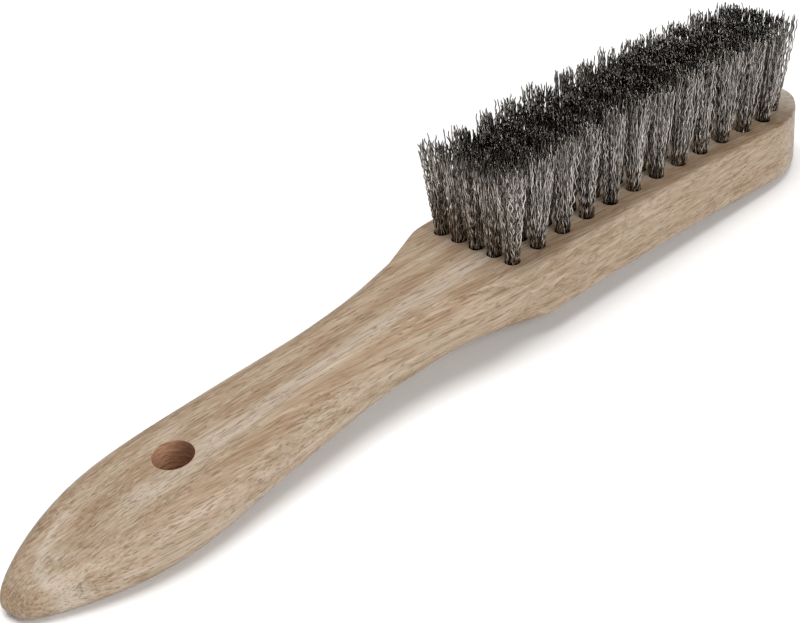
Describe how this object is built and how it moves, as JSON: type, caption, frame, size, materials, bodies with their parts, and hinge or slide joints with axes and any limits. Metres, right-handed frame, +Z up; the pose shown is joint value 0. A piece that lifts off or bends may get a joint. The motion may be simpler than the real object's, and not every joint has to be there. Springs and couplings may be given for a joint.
{
  "type": "wire brush",
  "caption": "Hand wire brush with a curved wooden handle and a head of crimped stainless steel wire tufts for scrubbing metal.",
  "frame": {"origin": "on the resting surface, under the middle of the brush's length and width", "axes": "+X along the brush from the handle to the toe, +Y across it, +Z up through the bristles"},
  "size_m": [0.292, 0.0376, 0.0508],
  "materials": {
    "beech": "raw sanded beech, unvarnished",
    "crimped_wire": "crimped stainless steel wire",
    "anchor_steel": "plain flat steel wire"
  },
  "bodies": {
    "root": {"wood_stock": "beech", "tuft_rank_01": "crimped_wire", "tuft_rank_02": "crimped_wire", "tuft_rank_03": "crimped_wire", "tuft_rank_04": "crimped_wire", "tuft_rank_05": "crimped_wire", "tuft_rank_06": "crimped_wire", "tuft_rank_07": "crimped_wire", "tuft_rank_08": "crimped_wire", "tuft_rank_09": "crimped_wire", "tuft_rank_10": "crimped_wire", "tuft_rank_11": "crimped_wire", "tuft_rank_12": "crimped_wire", "tuft_rank_13": "crimped_wire", "anchor_rank_01": "anchor_steel", "anchor_rank_02": "anchor_steel", "anchor_rank_03": "anchor_steel", "anchor_rank_04": "anchor_steel", "anchor_rank_05": "anchor_steel", "anchor_rank_06": "anchor_steel", "anchor_rank_07": "anchor_steel", "anchor_rank_08": "anchor_steel", "anchor_rank_09": "anchor_steel", "anchor_rank_10": "anchor_steel", "anchor_rank_11": "anchor_steel", "anchor_rank_12": "anchor_steel", "anchor_rank_13": "anchor_steel"}
  },
  "joints": []
}
